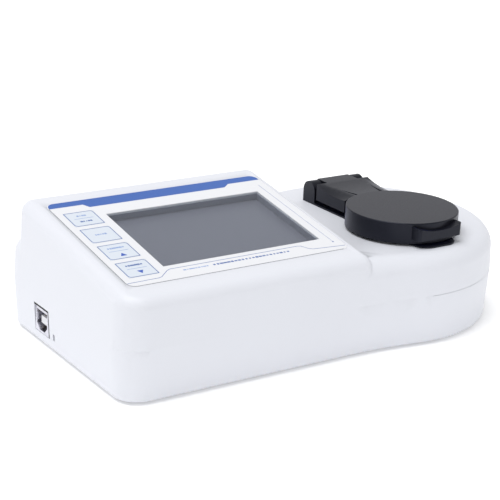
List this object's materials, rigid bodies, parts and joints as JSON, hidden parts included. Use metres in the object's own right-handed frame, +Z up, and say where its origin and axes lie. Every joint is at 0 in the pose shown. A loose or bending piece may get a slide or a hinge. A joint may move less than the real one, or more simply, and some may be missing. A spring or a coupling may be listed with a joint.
{
  "type": "bench spectrophotometer",
  "caption": "White bench spectrophotometer with a sloping display console, membrane keys, a USB socket, and a hinged black lid over a round sample well.",
  "frame": {"origin": "on the table plane under the middle of the case", "axes": "+X along the case from the console to the sample end, +Y to the back, +Z up"},
  "size_m": [0.1932, 0.1064, 0.053],
  "materials": {
    "white_case": "fine moulded texture",
    "black_lid": "satin moulded",
    "panel_film": "printed polycarbonate film, satin",
    "key_film": "printed polycarbonate film, satin",
    "backing_film": "polyester film",
    "clear_pane": "clear acrylic",
    "lcd": "grey unlit display",
    "light_guide": "diffuse",
    "steel": "zinc plated",
    "spring_steel": "bright",
    "board": "solder mask",
    "chip": "moulded",
    "usb_metal": "nickel plated steel",
    "usb_insulator": "moulded",
    "gold": "gold flash",
    "rubber_foot": "moulded rubber",
    "black_inner": "matt black inside the light path",
    "foam": "closed-cell foam",
    "optic": "polished",
    "grating_face": "ruled aluminium coating",
    "battery_wrap": "shrink wrap",
    "switch_body": "moulded"
  },
  "bodies": {
    "case": {"upper_shell": "white_case", "lower_shell": "white_case", "feet": "rubber_foot", "case_screws": "steel", "panel_overlay": "panel_film", "keypad_backing": "backing_film", "key_domes": "spring_steel", "display_window": "clear_pane", "lcd_glass": "lcd", "lcd_frame": "steel", "lcd_backlight": "light_guide", "display_board": "board", "display_screws": "steel", "main_board": "board", "processor": "chip", "board_screws": "steel", "battery_pack": "battery_wrap", "usb_shell": "usb_metal", "usb_tongue": "usb_insulator", "usb_contacts": "gold", "reset_switch": "switch_body", "vial_holder": "black_inner", "lamp_holder": "black_inner", "light_source": "optic", "collimating_lens": "optic", "detector_housing": "black_inner", "entrance_slit": "spring_steel", "grating": "grating_face", "detector_board": "board", "detector_chip": "chip", "hinge_base": "black_lid", "hinge_pin": "steel", "hinge_screws": "steel", "well_collar": "black_lid"},
    "lid": {"lid": "black_lid", "lid_seal": "foam"},
    "key_down": {"key_down": "key_film"},
    "key_up": {"key_up": "key_film"},
    "key_enter": {"key_enter": "key_film"},
    "key_mode": {"key_mode": "key_film"},
    "reset_plunger": {"reset_plunger": "usb_insulator"}
  },
  "joints": [
    {"name": "lid_hinge", "type": "hinge", "parent": "case", "child": "lid", "pos_m": [0.0469, 0.0269, 0.0429], "axis": [-1, 0, 0], "range_deg": [0, 105]},
    {"name": "key_mode_press", "type": "slide", "parent": "case", "child": "key_mode", "axis": [0, 0.1604, -0.9871], "range_m": [0, 0.0004], "stiffness_N_per_m": 1500},
    {"name": "key_enter_press", "type": "slide", "parent": "case", "child": "key_enter", "axis": [0, 0.1604, -0.9871], "range_m": [0, 0.0004], "stiffness_N_per_m": 1500},
    {"name": "key_up_press", "type": "slide", "parent": "case", "child": "key_up", "axis": [0, 0.1604, -0.9871], "range_m": [0, 0.0004], "stiffness_N_per_m": 1500},
    {"name": "key_down_press", "type": "slide", "parent": "case", "child": "key_down", "axis": [0, 0.1604, -0.9871], "range_m": [0, 0.0004], "stiffness_N_per_m": 1500},
    {"name": "reset_press", "type": "slide", "parent": "case", "child": "reset_plunger", "axis": [1, 0, 0], "range_m": [0, 0.0005], "stiffness_N_per_m": 800}
  ]
}
